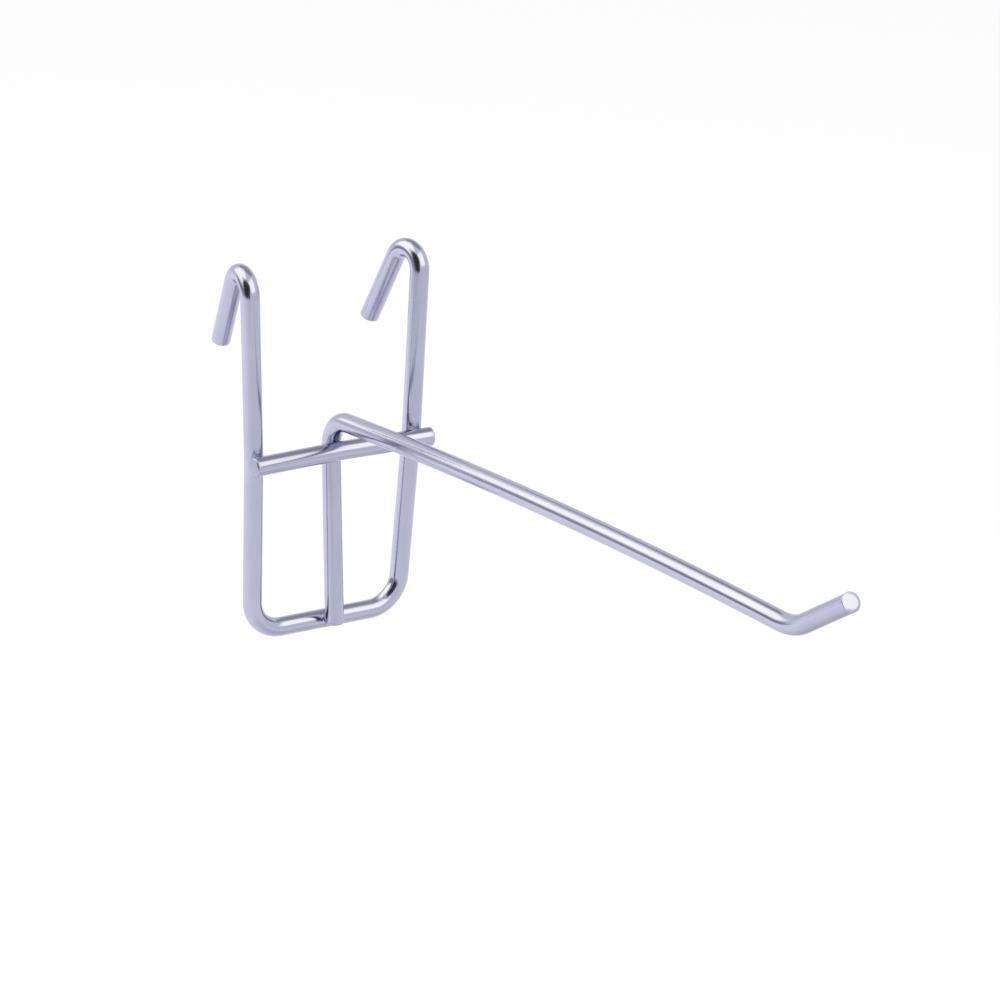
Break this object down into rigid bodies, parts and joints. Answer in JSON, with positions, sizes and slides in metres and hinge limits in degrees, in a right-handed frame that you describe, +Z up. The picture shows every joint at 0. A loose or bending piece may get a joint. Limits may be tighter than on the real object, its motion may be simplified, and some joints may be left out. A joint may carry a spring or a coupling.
{
  "type": "display hook",
  "caption": "Bent-wire display hook that hangs over a wire of a grid panel and carries goods on a long arm with an upturned tip.",
  "frame": {"origin": "on the axis of the panel wire that lies in the top bends, midway between the hooks", "axes": "+X to the right seen from the front, +Y back into the panel, +Z up; the arm runs out along -Y"},
  "size_m": [0.0562, 0.2412, 0.1014],
  "materials": {
    "chrome_wire": "bright plated, smooth"
  },
  "bodies": {
    "root": {"frame_wire": "chrome_wire", "cross_bar": "chrome_wire", "prong_wire": "chrome_wire"}
  },
  "joints": []
}
